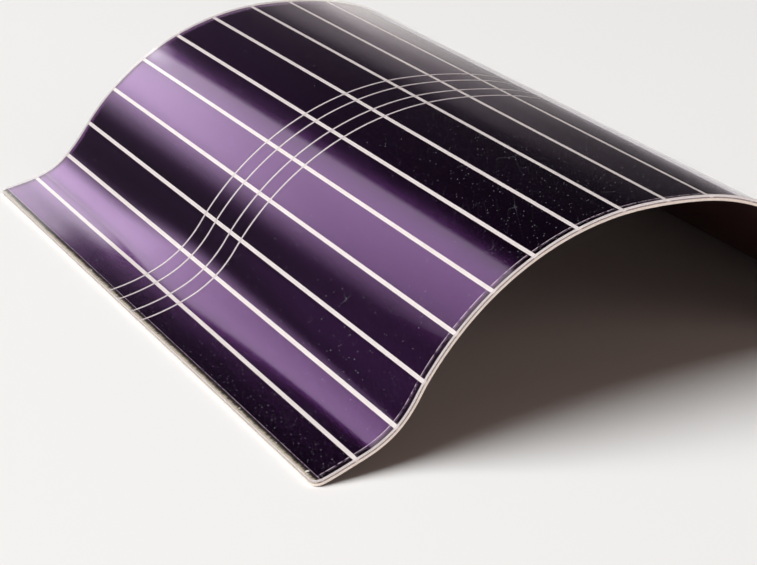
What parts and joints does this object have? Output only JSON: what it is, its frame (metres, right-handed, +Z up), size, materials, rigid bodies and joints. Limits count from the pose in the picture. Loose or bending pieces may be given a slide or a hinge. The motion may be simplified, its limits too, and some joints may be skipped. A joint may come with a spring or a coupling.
{
  "type": "photovoltaic film",
  "caption": "Thin flexible photovoltaic laminate lying in one wave, with dark cell strips, pale conductor lines and four cross lines.",
  "frame": {"origin": "under the middle of the film's box, on the surface that the film lies on", "axes": "+X across the strips from the toe edge to the flat tail, +Y along the strips away from the slanted cut, +Z up"},
  "size_m": [0.1278, 0.1514, 0.0331],
  "materials": {
    "back_film": "cream film, satin, dusty",
    "front_film": "clear glossy film with fine scratches and dust",
    "cell": "dark purple coated strip with a metallic sheen and a very fine dot pattern",
    "conductor": "pale printed conductor line, satin",
    "cross_line": "thin pale printed line, satin",
    "adhesive": "thin adhesive layer, dark at the cut edge",
    "edge_seal": "sealed edge band, streaked cream to dark"
  },
  "bodies": {
    "root": {"back_film": "back_film", "rear_adhesive": "adhesive", "front_adhesive": "adhesive", "front_film": "front_film", "toe_edge_seal": "edge_seal", "tail_edge_seal": "edge_seal", "cell_strip_01": "cell", "cell_strip_02": "cell", "cell_strip_03": "cell", "cell_strip_04": "cell", "cell_strip_05": "cell", "cell_strip_06": "cell", "cell_strip_07": "cell", "cell_strip_08": "cell", "cell_strip_09": "cell", "cell_strip_10": "cell", "cell_strip_11": "cell", "cell_strip_12": "cell", "cell_strip_13": "cell", "cell_strip_14": "cell", "cell_strip_15": "cell", "cell_strip_16": "cell", "cell_strip_17": "cell", "cell_strip_18": "cell", "conductor_line_01": "conductor", "conductor_line_02": "conductor", "conductor_line_03": "conductor", "conductor_line_04": "conductor", "conductor_line_05": "conductor", "conductor_line_06": "conductor", "conductor_line_07": "conductor", "conductor_line_08": "conductor", "conductor_line_09": "conductor", "conductor_line_10": "conductor", "conductor_line_11": "conductor", "conductor_line_12": "conductor", "conductor_line_13": "conductor", "conductor_line_14": "conductor", "conductor_line_15": "conductor", "conductor_line_16": "conductor", "conductor_line_17": "conductor", "cross_line_01": "cross_line", "cross_line_02": "cross_line", "cross_line_03": "cross_line", "cross_line_04": "cross_line"}
  },
  "joints": []
}
